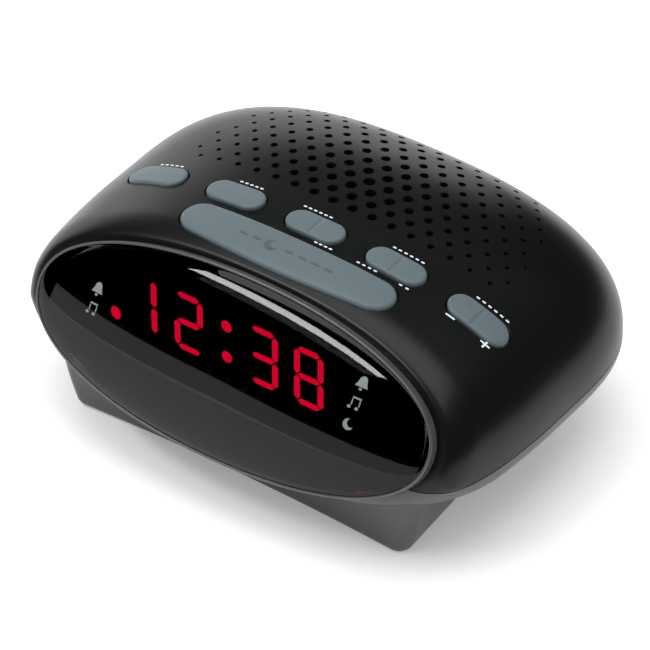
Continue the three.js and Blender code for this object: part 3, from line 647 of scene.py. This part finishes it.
BEHIND_KEYS_Y = -1.6
BEFORE_KEYS_Y = -11.7
BEHIND_ROWS = ((-51.7, -43.9), (-27.0, -19.4), (-7.7, 1.5), (18.9, 28.9), (43.5, 53.8))
BEFORE_ROWS = ((2.7, 8.5), (15.2, 21.9), (27.6, 31.4))
MARK_WIDTH = 0.5
DASH_LENGTH = 1.0
DASH_PITCH = 1.62
MINUS_X = 43.1
PLUS_X = 53.3
SIGN_HALF = 1.1
MARK_LIFT = 0.035  # ink stands this far out of the skin
MARK_ROOT = 0.1
MOON_TIP = 0.9  # half of the angle between a moon's tips, from its middle
MOON_OFFSET = 0.62  # middle of a moon's inner arc, in radii


def inlays(name, outlines, top, bottom):
    """Thin separate solids between two heights, each a function of the outline's own two coordinates."""
    vertices = []
    faces = []
    for outline in outlines:
        base = len(vertices)
        n = len(outline)
        vertices += [bottom(*p) for p in outline] + [top(*p) for p in outline]
        faces.append(tuple(range(base + n - 1, base - 1, -1)))
        faces.append(tuple(range(base + n, base + 2 * n)))
        faces += [(base + i, base + (i + 1) % n, base + n + (i + 1) % n, base + n + i) for i in range(n)]
    return new_object(name, vertices, faces)


def bar_outline(x0, y0, x1, y1, width):
    """A short bar with rounded ends from one point to another."""
    turn = math.atan2(y1 - y0, x1 - x0)
    points = []
    for cx, cy, start in ((x1, y1, turn - math.pi / 2), (x0, y0, turn + math.pi / 2)):
        for a in start + np.linspace(0, math.pi, 6):
            points.append((cx + width / 2 * math.cos(a), cy + width / 2 * math.sin(a)))
    return points


def dash_row(x0, x1, y):
    """A row of short dashes that fills a stretch."""
    count = max(int(round((x1 - x0) / DASH_PITCH)), 1)
    step = (x1 - x0) / count
    half = (DASH_LENGTH - MARK_WIDTH) / 2
    middles = [x0 + step * (i + 0.5) for i in range(count)]
    return [bar_outline(x - half, y, x + half, y, MARK_WIDTH) for x in middles]


def crescent(x, y, radius, turn=0.6, steps=16):
    """A moon: an outer arc and a shallower inner arc between the same two tips."""
    outer_arc = np.linspace(turn + MOON_TIP, turn + 2 * math.pi - MOON_TIP, steps)
    points = [(x + radius * math.cos(a), y + radius * math.sin(a)) for a in outer_arc]
    centre = radius * MOON_OFFSET
    cx, cy = x + centre * math.cos(turn), y + centre * math.sin(turn)
    inner = math.hypot(points[0][0] - cx, points[0][1] - cy)
    first = math.atan2(points[-1][1] - cy, points[-1][0] - cx)
    last = math.atan2(points[0][1] - cy, points[0][0] - cx)
    sweep = (last - first) % (2 * math.pi) - 2 * math.pi
    for t in np.linspace(0, 1, steps)[1:-1]:
        a = first + sweep * t
        points.append((cx + inner * math.cos(a), cy + inner * math.sin(a)))
    return points


marks = [dash for x0, x1 in BEHIND_ROWS for dash in dash_row(x0, x1, BEHIND_KEYS_Y)]
marks += [dash for x0, x1 in BEFORE_ROWS for dash in dash_row(x0, x1, BEFORE_KEYS_Y)]
for x in (MINUS_X, PLUS_X):
    marks.append(bar_outline(x - SIGN_HALF, BEFORE_KEYS_Y, x + SIGN_HALF, BEFORE_KEYS_Y, MARK_WIDTH))
for s in (-1, 1):
    ends = (BEFORE_KEYS_Y + s * 0.4, BEFORE_KEYS_Y + s * SIGN_HALF)
    marks.append(bar_outline(PLUS_X, ends[0], PLUS_X, ends[1], MARK_WIDTH))


def over_skin(lift):
    """A height over the housing's skin, for inlays."""
    return lambda x, y: (x, y, surface_z(x, y) + lift)


printed = inlays("marks", marks, over_skin(MARK_LIFT), over_skin(-MARK_ROOT))
finish_piece(printed, "key_marks", INK)

MOTIF_Y = SNOOZE_Y - 0.9
MOTIF_LIFT = KEY_PROUD + KEY_CROWN + 0.01
motif = [crescent(-4.2, MOTIF_Y, 1.9)]
motif += [bar_outline(x - 0.9, MOTIF_Y, x + 0.9, MOTIF_Y, 0.7) for x in (-12.5, -8.6, 1.0, 4.9, 8.8, 12.7)]
# the motif stands just proud of the bar and is coloured darker as painted shade of an engraving
engraving_painted_shade = inlays("motif", motif, over_skin(MOTIF_LIFT), over_skin(0.5))
finish_piece(engraving_painted_shade, "snooze_motif", ENGRAVED_SHADE, "snooze_button")

# ------------------------------------------------------------------ lower shell and plinth


def plinth_ring(z, inset=0.0, steps=10):
    """The plinth's outline at a level, with round corners and a slightly hollow front."""
    rise = 1 - (1 - min(z / PLINTH_FLARE_Z, 1)) ** PLINTH_FLARE_EXPONENT
    front = PLINTH_HALF_WIDTH + PLINTH_FLARE * rise - inset
    rear = front - PLINTH_REAR_TAPER
    y0 = PLINTH_FRONT_Y - PLINTH_FRONT_RAKE * z + inset
    y1 = PLINTH_REAR_Y + PLINTH_REAR_RAKE * z - inset
    corners = [(-front, y0, PLINTH_FRONT_RADIUS, math.pi), (front, y0, PLINTH_FRONT_RADIUS, 1.5 * math.pi),
               (rear, y1, PLINTH_REAR_RADIUS, 0), (-rear, y1, PLINTH_REAR_RADIUS, 0.5 * math.pi)]
    points = []
    for x, y, full, start in corners:
        radius = full - inset
        cx = x - math.copysign(radius, x)
        cy = y + (radius if y < 0 else -radius)
        for a in start + np.linspace(0, math.pi / 2, steps):
            points.append((cx + radius * math.cos(a), cy + radius * math.sin(a), z))
    flat = front - PLINTH_FRONT_RADIUS
    bowed = [(t * flat, y0 + PLINTH_FRONT_BOW * (1 - t * t), z) for t in np.linspace(-0.9, 0.9, 13)]
    return points[:steps] + bowed + points[steps:]


def middles_xy(boxes):
    """The middles of some boxes, in plan, in millimetres."""
    return [((low.x + high.x) / 2 / MM, (low.y + high.y) / 2 / MM) for low, high in boxes]


screws = [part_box(f"housing_screw_{i}") for i in range(1, 5)]
screw_xy = middles_xy(screws)
feet = [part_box(f"foot_{i}") for i in range(1, 5)]
foot_xy = middles_xy(feet)
gland_low, gland_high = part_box("cord_gland")
gland_x = (gland_low.x + gland_high.x) / 2 / MM
gland_z = (gland_low.z + gland_high.z) / 2 / MM

BAY_X0, BAY_X1, BAY_Y0, BAY_Y1 = -21.5, 28.0, 8.8, 31.7
BAY_TOP = 14.6
BAY_WALL = 1.5
APRON = 4.6  # thick floor round the bay, which the door slides in
APRON_REAR_Y = 33.5
APRON_TOP_Z = 4.8
DOOR_LIP = 1.3
VENT_X = (-40, -34, -28, -22, -16)
VENT_Y0, VENT_Y1 = -16, 2
VENT_HALF = 0.9
WELL_RADIUS = 4.2  # wells for the housing screws
WELL_BORE_RADIUS = 3.4
WELL_TOP_Z = 17
WELL_SEAT_Z = 12
FOOT_POCKET_RADIUS = 5.3
FOOT_POCKET_Z = 1.9
GLAND_LAND_RADIUS = 5.6
GLAND_LAND_Y = 37.2
GLAND_BORE_RADIUS = 3
EDGE_BREAKS = ((PLINTH_Z, 0.6), (PLINTH_Z + 0.25, 0.2), (PLINTH_Z + 0.7, 0))  # level and inset at the base
PLINTH_LEVELS = (2.5, 4, 6, 8, 10, 12, 14, PLINTH_FLARE_Z, 20, PLINTH_TOP_Z)
PLINTH_INNER_LEVELS = (FLOOR_TOP_Z, 5, 8, 11, 14, PLINTH_FLARE_Z, PLINTH_TOP_Z)


def bay_block(margin, y1, z0, z1):
    """A block round the battery bay, wider than it by a margin."""
    return box_object(BAY_X0 - margin, BAY_X1 + margin, BAY_Y0 - margin, y1, z0, z1)


below = slab(-5, PARTING_Z - GAP / 2)
lower = keep(copy_of(outer), copy_of(below))
rings = [plinth_ring(z, inset) for z, inset in EDGE_BREAKS] + [plinth_ring(z) for z in PLINTH_LEVELS]
gland_land = keep(rod_y(gland_x, gland_z, GLAND_LAND_RADIUS, 30, GLAND_LAND_Y), copy_of(below))
add(lower, rings_object("plinth", rings), gland_land)
cut(lower, copy_of(hollow), rings_object("plinth", [plinth_ring(z, WALL) for z in PLINTH_INNER_LEVELS]))
tongue = cut(keep(housing_solid(TONGUE_INSET), slab(20, PARTING_Z + TONGUE_HEIGHT)), copy_of(hollow))
add(lower, tongue)
add(lower, bay_block(BAY_WALL, BAY_Y1 + BAY_WALL, 2, BAY_TOP + BAY_WALL))
add(lower, bay_block(APRON, APRON_REAR_Y, 2, APRON_TOP_Z))
add(lower, *[rod(x, y, WELL_RADIUS, PLINTH_Z + 0.5, WELL_TOP_Z) for x, y in screw_xy])
cut(lower, *[rod(x, y, WELL_BORE_RADIUS, -5, WELL_SEAT_Z) for x, y in screw_xy])
cut(lower, *[rod(x, y, FOOT_POCKET_RADIUS, -5, FOOT_POCKET_Z) for x, y in foot_xy])
cut(lower, bay_block(0, BAY_Y1, 1, BAY_TOP))
door_y0 = BAY_Y0 - 2 * DOOR_LIP
cut(lower, box_object(BAY_X0 - 2 * DOOR_LIP, BAY_X1 + 2 * DOOR_LIP, door_y0, BIG, 1.5, 2.7))
cut(lower, box_object(BAY_X0 - DOOR_LIP, BAY_X1 + DOOR_LIP, door_y0, BIG, -5, 2))
cut(lower, *[box_object(x - VENT_HALF, x + VENT_HALF, VENT_Y0, VENT_Y1, -5, 4) for x in VENT_X])
cut(lower, rod_y(gland_x, gland_z, GLAND_BORE_RADIUS, 20, 60))
finish_piece(lower, "lower_shell", PLINTH, replaces=("bottom_shell",))

for tool in (hollow, rebate, skin, below, outer):
    bpy.data.objects.remove(tool)

# ------------------------------------------------------------------ lens


def leaning(x, w, offset):
    """A point of the leaning lens plane: x across, w up the slope, offset out of the plane."""
    y = LENS_CENTRE[1] + w * math.sin(LEAN) - offset * math.cos(LEAN)
    return (x, y, LENS_CENTRE[2] + w * math.cos(LEAN) + offset * math.sin(LEAN))


def lens_ring(scale, offset, margin=0.0, count=176):
    """A ring of the lens outline, drawn in by a margin and then scaled."""
    angles = np.linspace(0, 2 * math.pi, count, endpoint=False)
    xs = (LENS_A - margin) * scale * power(np.cos(angles), 2 / LENS_EXPONENT)
    ws = (LENS_B - margin) * scale * power(np.sin(angles), 2 / LENS_EXPONENT)
    return [leaning(x, w, offset) for x, w in zip(xs, ws)]


def dome(scale, bulge=LENS_BULGE):
    """Height of the dome over its rim's plane, at a share of the way out to the rim."""
    return bulge * (1 - min(scale, 1) ** 2) ** BULGE_EXPONENT


RIM_WIDTH = 0.75
LENS_STEP = 0.35  # the dome starts this far out of the rim's plane
front_scales = np.sin(np.linspace(0.02, math.pi / 2, 36))
back_scales = np.sin(np.linspace(math.pi / 2, 0.02, 30))
front = [(t, dome(t) + LENS_STEP) for t in front_scales]
back = [(t * LENS_INNER_SCALE, dome(t, LENS_INNER_BULGE) - LENS_EDGE) for t in back_scales]
glass = rings_object("lens", [lens_ring(t, z, RIM_WIDTH) for t, z in front + [(1.0, -0.6)] + back])
finish_piece(glass, "domed_lens", LENS, replaces=("front_lens",), angle=40)


def on_dome(x, w, lift):
    """A point on the dome's face, or lift above it, at a place in the lens plane."""
    across = abs(x) / (LENS_A - RIM_WIDTH)
    along = abs(w) / (LENS_B - RIM_WIDTH)
    scale = (across**LENS_EXPONENT + along**LENS_EXPONENT) ** (1 / LENS_EXPONENT)
    return leaning(x, w, dome(scale) + LENS_STEP + lift)


def disc(x, y, radius_x, radius_y, sides=28):
    """An upright or flattened round outline."""
    turns = np.linspace(0, 2 * math.pi, sides, endpoint=False)
    return [(x + radius_x * math.cos(a), y + radius_y * math.sin(a)) for a in turns]


def bell(x, w, size):
    """A plain bell and its clapper."""
    half = size * 0.42
    sides = [(x - size * 0.5, w - size * 0.32), (x + size * 0.5, w - size * 0.32)]
    arc = [(x + half * 0.8 * math.cos(a), w + size * 0.05 + half * math.sin(a))
           for a in np.linspace(0, math.pi, 9)]
    return [sides + arc, disc(x, w - size * 0.47, 0.13 * size, 0.1 * size, 8)]


def note(x, w, size):
    """Two heads, two stems and a beam."""
    heads = [disc(x + dx * size, w - 0.36 * size, 0.15 * size, 0.12 * size, 10) for dx in (-0.36, 0.24)]
    stem_x = [x + dx * size for dx in (-0.24, 0.36)]
    stems = [bar_outline(sx, w - 0.16 * size, sx, w + 0.22 * size, 0.09 * size) for sx in stem_x]
    beam = bar_outline(stem_x[0], w + 0.36 * size, stem_x[1], w + 0.36 * size, 0.13 * size)
    return heads + stems + [beam]


ICON = 3.4
icons = bell(-39.8, 5.4, ICON) + note(-39.7, 0.3, ICON)
icons += bell(36.9, 11.4, ICON) + note(36.9, 6.3, ICON) + [crescent(37.0, 0.9, ICON * 0.42)]
icon_prints = inlays("icons", icons, lambda x, w: on_dome(x, w, 0.03), lambda x, w: on_dome(x, w, -0.08))
finish_piece(icon_prints, "lens_icons", GREY_INK)

# the rim: a thin rounded bead round the dome; its section is (margin, offset) pairs
RIM_INNER = RIM_WIDTH - 0.06
BEAD_START = 0.2
BEAD_HEIGHT = 0.4
section = [(RIM_INNER, -LENS_EDGE), (RIM_INNER, BEAD_START)]
for a in np.linspace(math.pi, 0, 10)[1:-1]:
    section.append((RIM_WIDTH / 2 * (1 - math.cos(a)), BEAD_START + BEAD_HEIGHT * math.sin(a)))
section += [(0.0, 0.1), (0.0, -LENS_EDGE)]
rim = loop_object("rim", [lens_ring(1.0, z, margin) for margin, z in section])
finish_piece(rim, "lens_rim", RIM, angle=50)

# the mask behind the lens, with its window for the display
MASK_SCALE = 0.95
MASK_BACK = -4.6
MASK_FRONT = -2.9
mask = rings_object("mask", [lens_ring(MASK_SCALE, z) for z in (MASK_BACK, MASK_FRONT)])
window = [(-38, -10.5), (28.5, -10.5), (28.5, 14.9), (-38, 14.9)]
cut(mask, rings_object("window", [[leaning(x, w, z) for x, w in window] for z in (-8, 3)]))
finish_piece(mask, "display_mask", DARK, replaces=("front_frame",))

# ------------------------------------------------------------------ display

filter_low, filter_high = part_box("display_filter")
FACE_Y = filter_low.y / MM - 0.05
STROKE = 1.75
DIGIT_LOW = 28.9
DIGIT_HIGH = 45.0
DIGIT_HALF = 3.5
DIGIT_X = (-31.45, -17.4, 5.1, 18.65)
COLON_X = -5.9
COLON_Z = (41.6, 32.1)
MITRE = 0.25  # gap between a segment's tip and its corner
SEGMENT_THICKNESS = 0.25
SEGMENTS = {"1": "bc", "2": "abged", "3": "abgcd", "8": "abcdefg"}


def segment_outline(kind, x):
    """A bar with pointed ends, mitred against its neighbours."""
    middle = (DIGIT_LOW + DIGIT_HIGH) / 2
    half = STROKE / 2
    level = {"a": DIGIT_HIGH, "g": middle, "d": DIGIT_LOW}
    if kind in level:
        z = level[kind]
        a, b = x - DIGIT_HALF + MITRE, x + DIGIT_HALF - MITRE
        return [(a, z), (a + half, z - half), (b - half, z - half),
                (b, z), (b - half, z + half), (a + half, z + half)]
    side = x + (DIGIT_HALF if kind in "bc" else -DIGIT_HALF)
    a, b = (middle, DIGIT_HIGH) if kind in "bf" else (DIGIT_LOW, middle)
    a, b = a + MITRE, b - MITRE
    return [(side, a), (side + half, a + half), (side + half, b - half),
            (side, b), (side - half, b - half), (side - half, a + half)]


def plate_y(outlines, y, thickness):
    """Thin upright plates facing the lens, as one mesh of separate solids."""
    vertices = []
    faces = []
    for outline in outlines:
        base = len(vertices)
        n = len(outline)
        vertices += [(x, y, z) for x, z in outline] + [(x, y + thickness, z) for x, z in outline]
        faces.append(tuple(range(base, base + n)))
        faces.append(tuple(range(base + 2 * n - 1, base + n - 1, -1)))
        faces += [(base + i, base + n + i, base + n + (i + 1) % n, base + (i + 1) % n) for i in range(n)]
    return new_object("plates", vertices, faces)


for i, (figure, x) in enumerate(zip("1238", DIGIT_X)):
    digit = plate_y([segment_outline(kind, x) for kind in SEGMENTS[figure]], FACE_Y, SEGMENT_THICKNESS)
    finish_piece(digit, f"digit_{i + 1}", RED)
colon = plate_y([disc(COLON_X, z, 1.5, 1.7) for z in COLON_Z], FACE_Y, SEGMENT_THICKNESS)
finish_piece(colon, "colon_dots", RED)

led_low, led_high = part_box("alarm_led")
led_x = (led_low.x + led_high.x) / 2 / MM + 0.9
led_z = (led_low.z + led_high.z) / 2 / MM
alarm = plate_y([disc(led_x, led_z, 1.45, 1.9)], led_low.y / MM - 0.2, 0.15)
finish_piece(alarm, "alarm_dot", RED)

# ------------------------------------------------------------------ CAD pieces that stay

# each takes the material of its slot in the record
slot_of = {part["node"]: part["material_slot"] for part in frame["record"]["subparts"]}
CARRIED = {
    "housing_plastic": DARK,
    "rubber": RUBBER,
    "bright_steel": metal("zinc_steel", (0.52, 0.52, 0.54), 0.35),
    "circuit_board": moulded_plastic("circuit_board", (0.02, 0.09, 0.04), 0.4, 0.00003, 700.0),
    "red_filter": moulded_plastic("red_filter", (0.006, 0.0005, 0.001), 0.5, specular=0.1),
    "display_case": DARK,
    "capacitor_sleeve": moulded_plastic("capacitor_sleeve", (0.02, 0.06, 0.22), 0.3),
    "speaker_cone": moulded_plastic("pressed_paper", (0.02, 0.02, 0.021), 0.9, 0.0001, 900.0),
    "ferrite": moulded_plastic("ferrite", (0.05, 0.05, 0.055), 0.6, 0.00003, 900.0),
    "core_steel": metal("lamination_steel", (0.22, 0.22, 0.24), 0.5),
    "winding_tape": moulded_plastic("winding_tape", (0.5, 0.36, 0.06), 0.45),
    "cell_jacket": metal("cell_jacket", (0.3, 0.31, 0.34), 0.35),
    "component_plastic": moulded_plastic("component_plastic", (0.014, 0.014, 0.015), 0.5),
}
for name, obj in frame["nodes"].items():
    if obj.hide_render:
        continue
    obj.data.materials.clear()
    obj.data.materials.append(CARRIED.get(slot_of[name], DARK))
frame["nodes"]["battery_door"].data.materials[0] = PLINTH
frame["nodes"]["alarm_led"].data.materials[0] = DARK

# ------------------------------------------------------------------ floor, light and camera

FLOOR_REACH = 9000
floor_corners = ((-FLOOR_REACH, -FLOOR_REACH), (FLOOR_REACH, -FLOOR_REACH),
                 (FLOOR_REACH, FLOOR_REACH), (-FLOOR_REACH, FLOOR_REACH))
floor = rings_object("floor", [[(x, y, z) for x, y in floor_corners] for z in (-2, 0)])
paper, paper_tree, paper_shader = nodes_of("floor_paper")
paper_tone = tint(paper_tree, (0.80, 0.80, 0.81), mapped_noise(paper_tree, 3, 2, 0, 1), 0.01)
paper_tree.links.new(paper_tone, paper_shader.inputs["Base Color"])
paper_shader.inputs["Roughness"].default_value = 0.8
paper_shader.inputs["Emission Color"].default_value = (1, 1, 1, 1)
paper_shader.inputs["Emission Strength"].default_value = 0.18
floor.data.materials.append(paper)


def area_light(name, position, length, width, power_w, target=None, turn=0.0):
    """A rectangular lamp aimed at a target; without one it faces down, turned by some degrees."""
    data = bpy.data.lights.new(name, "AREA")
    data.energy = power_w
    data.shape = "RECTANGLE"
    data.size = length
    data.size_y = width
    lamp = bpy.data.objects.new(name, data)
    lamp.location = position
    lamp.rotation_mode = "QUATERNION"
    if target:
        lamp.rotation_quaternion = (Vector(target) - Vector(position)).to_track_quat("-Z", "Y")
    else:
        lamp.rotation_quaternion = Matrix.Rotation(math.radians(turn), 4, "Z").to_quaternion()
    bpy.context.scene.collection.objects.link(lamp)


area_light("overhead", (-0.09, 0.15, 1.5), 1.63, 1.15, 14.5)
area_light("strip", (-0.62, -0.80, 1.45), 0.9, 0.22, 11.0, turn=-32.8)
area_light("backdrop", (-1.54, 1.2, 0.46), 2.4, 0.75, 9.0, target=(0, 0, 0.05))
area_light("front_card", (-0.5, -1.42, 0.13), 1.9, 0.26, 1.5, target=(0, 0, 0.1))

world = bpy.data.worlds.new("studio")
world.use_nodes = True
world.node_tree.nodes["Background"].inputs["Color"].default_value = (0.97, 0.98, 1.0, 1)
world.node_tree.nodes["Background"].inputs["Strength"].default_value = 0.84
world.cycles_visibility.glossy = False
world.cycles_visibility.transmission = False
bpy.context.scene.world = world
bpy.context.scene.view_settings.view_transform = "Standard"

CAMERA_TARGET = Vector((-9.95, 10.75, 9.65)) * MM
CAMERA_DIRECTION = Vector((0.45157, -0.62910, 0.63271))
CAMERA_DISTANCE = 1400.43

camera_data = bpy.data.cameras.new("camera")
camera_data.lens = 308.5
camera_data.sensor_width = 36
camera_data.clip_start = 0.05
camera_data.clip_end = 30
camera = bpy.data.objects.new("camera", camera_data)
camera.location = CAMERA_TARGET + CAMERA_DIRECTION * CAMERA_DISTANCE * MM
camera.rotation_mode = "QUATERNION"
camera.rotation_quaternion = (-CAMERA_DIRECTION).to_track_quat("-Z", "Y")
bpy.context.scene.collection.objects.link(camera)
bpy.context.scene.camera = camera
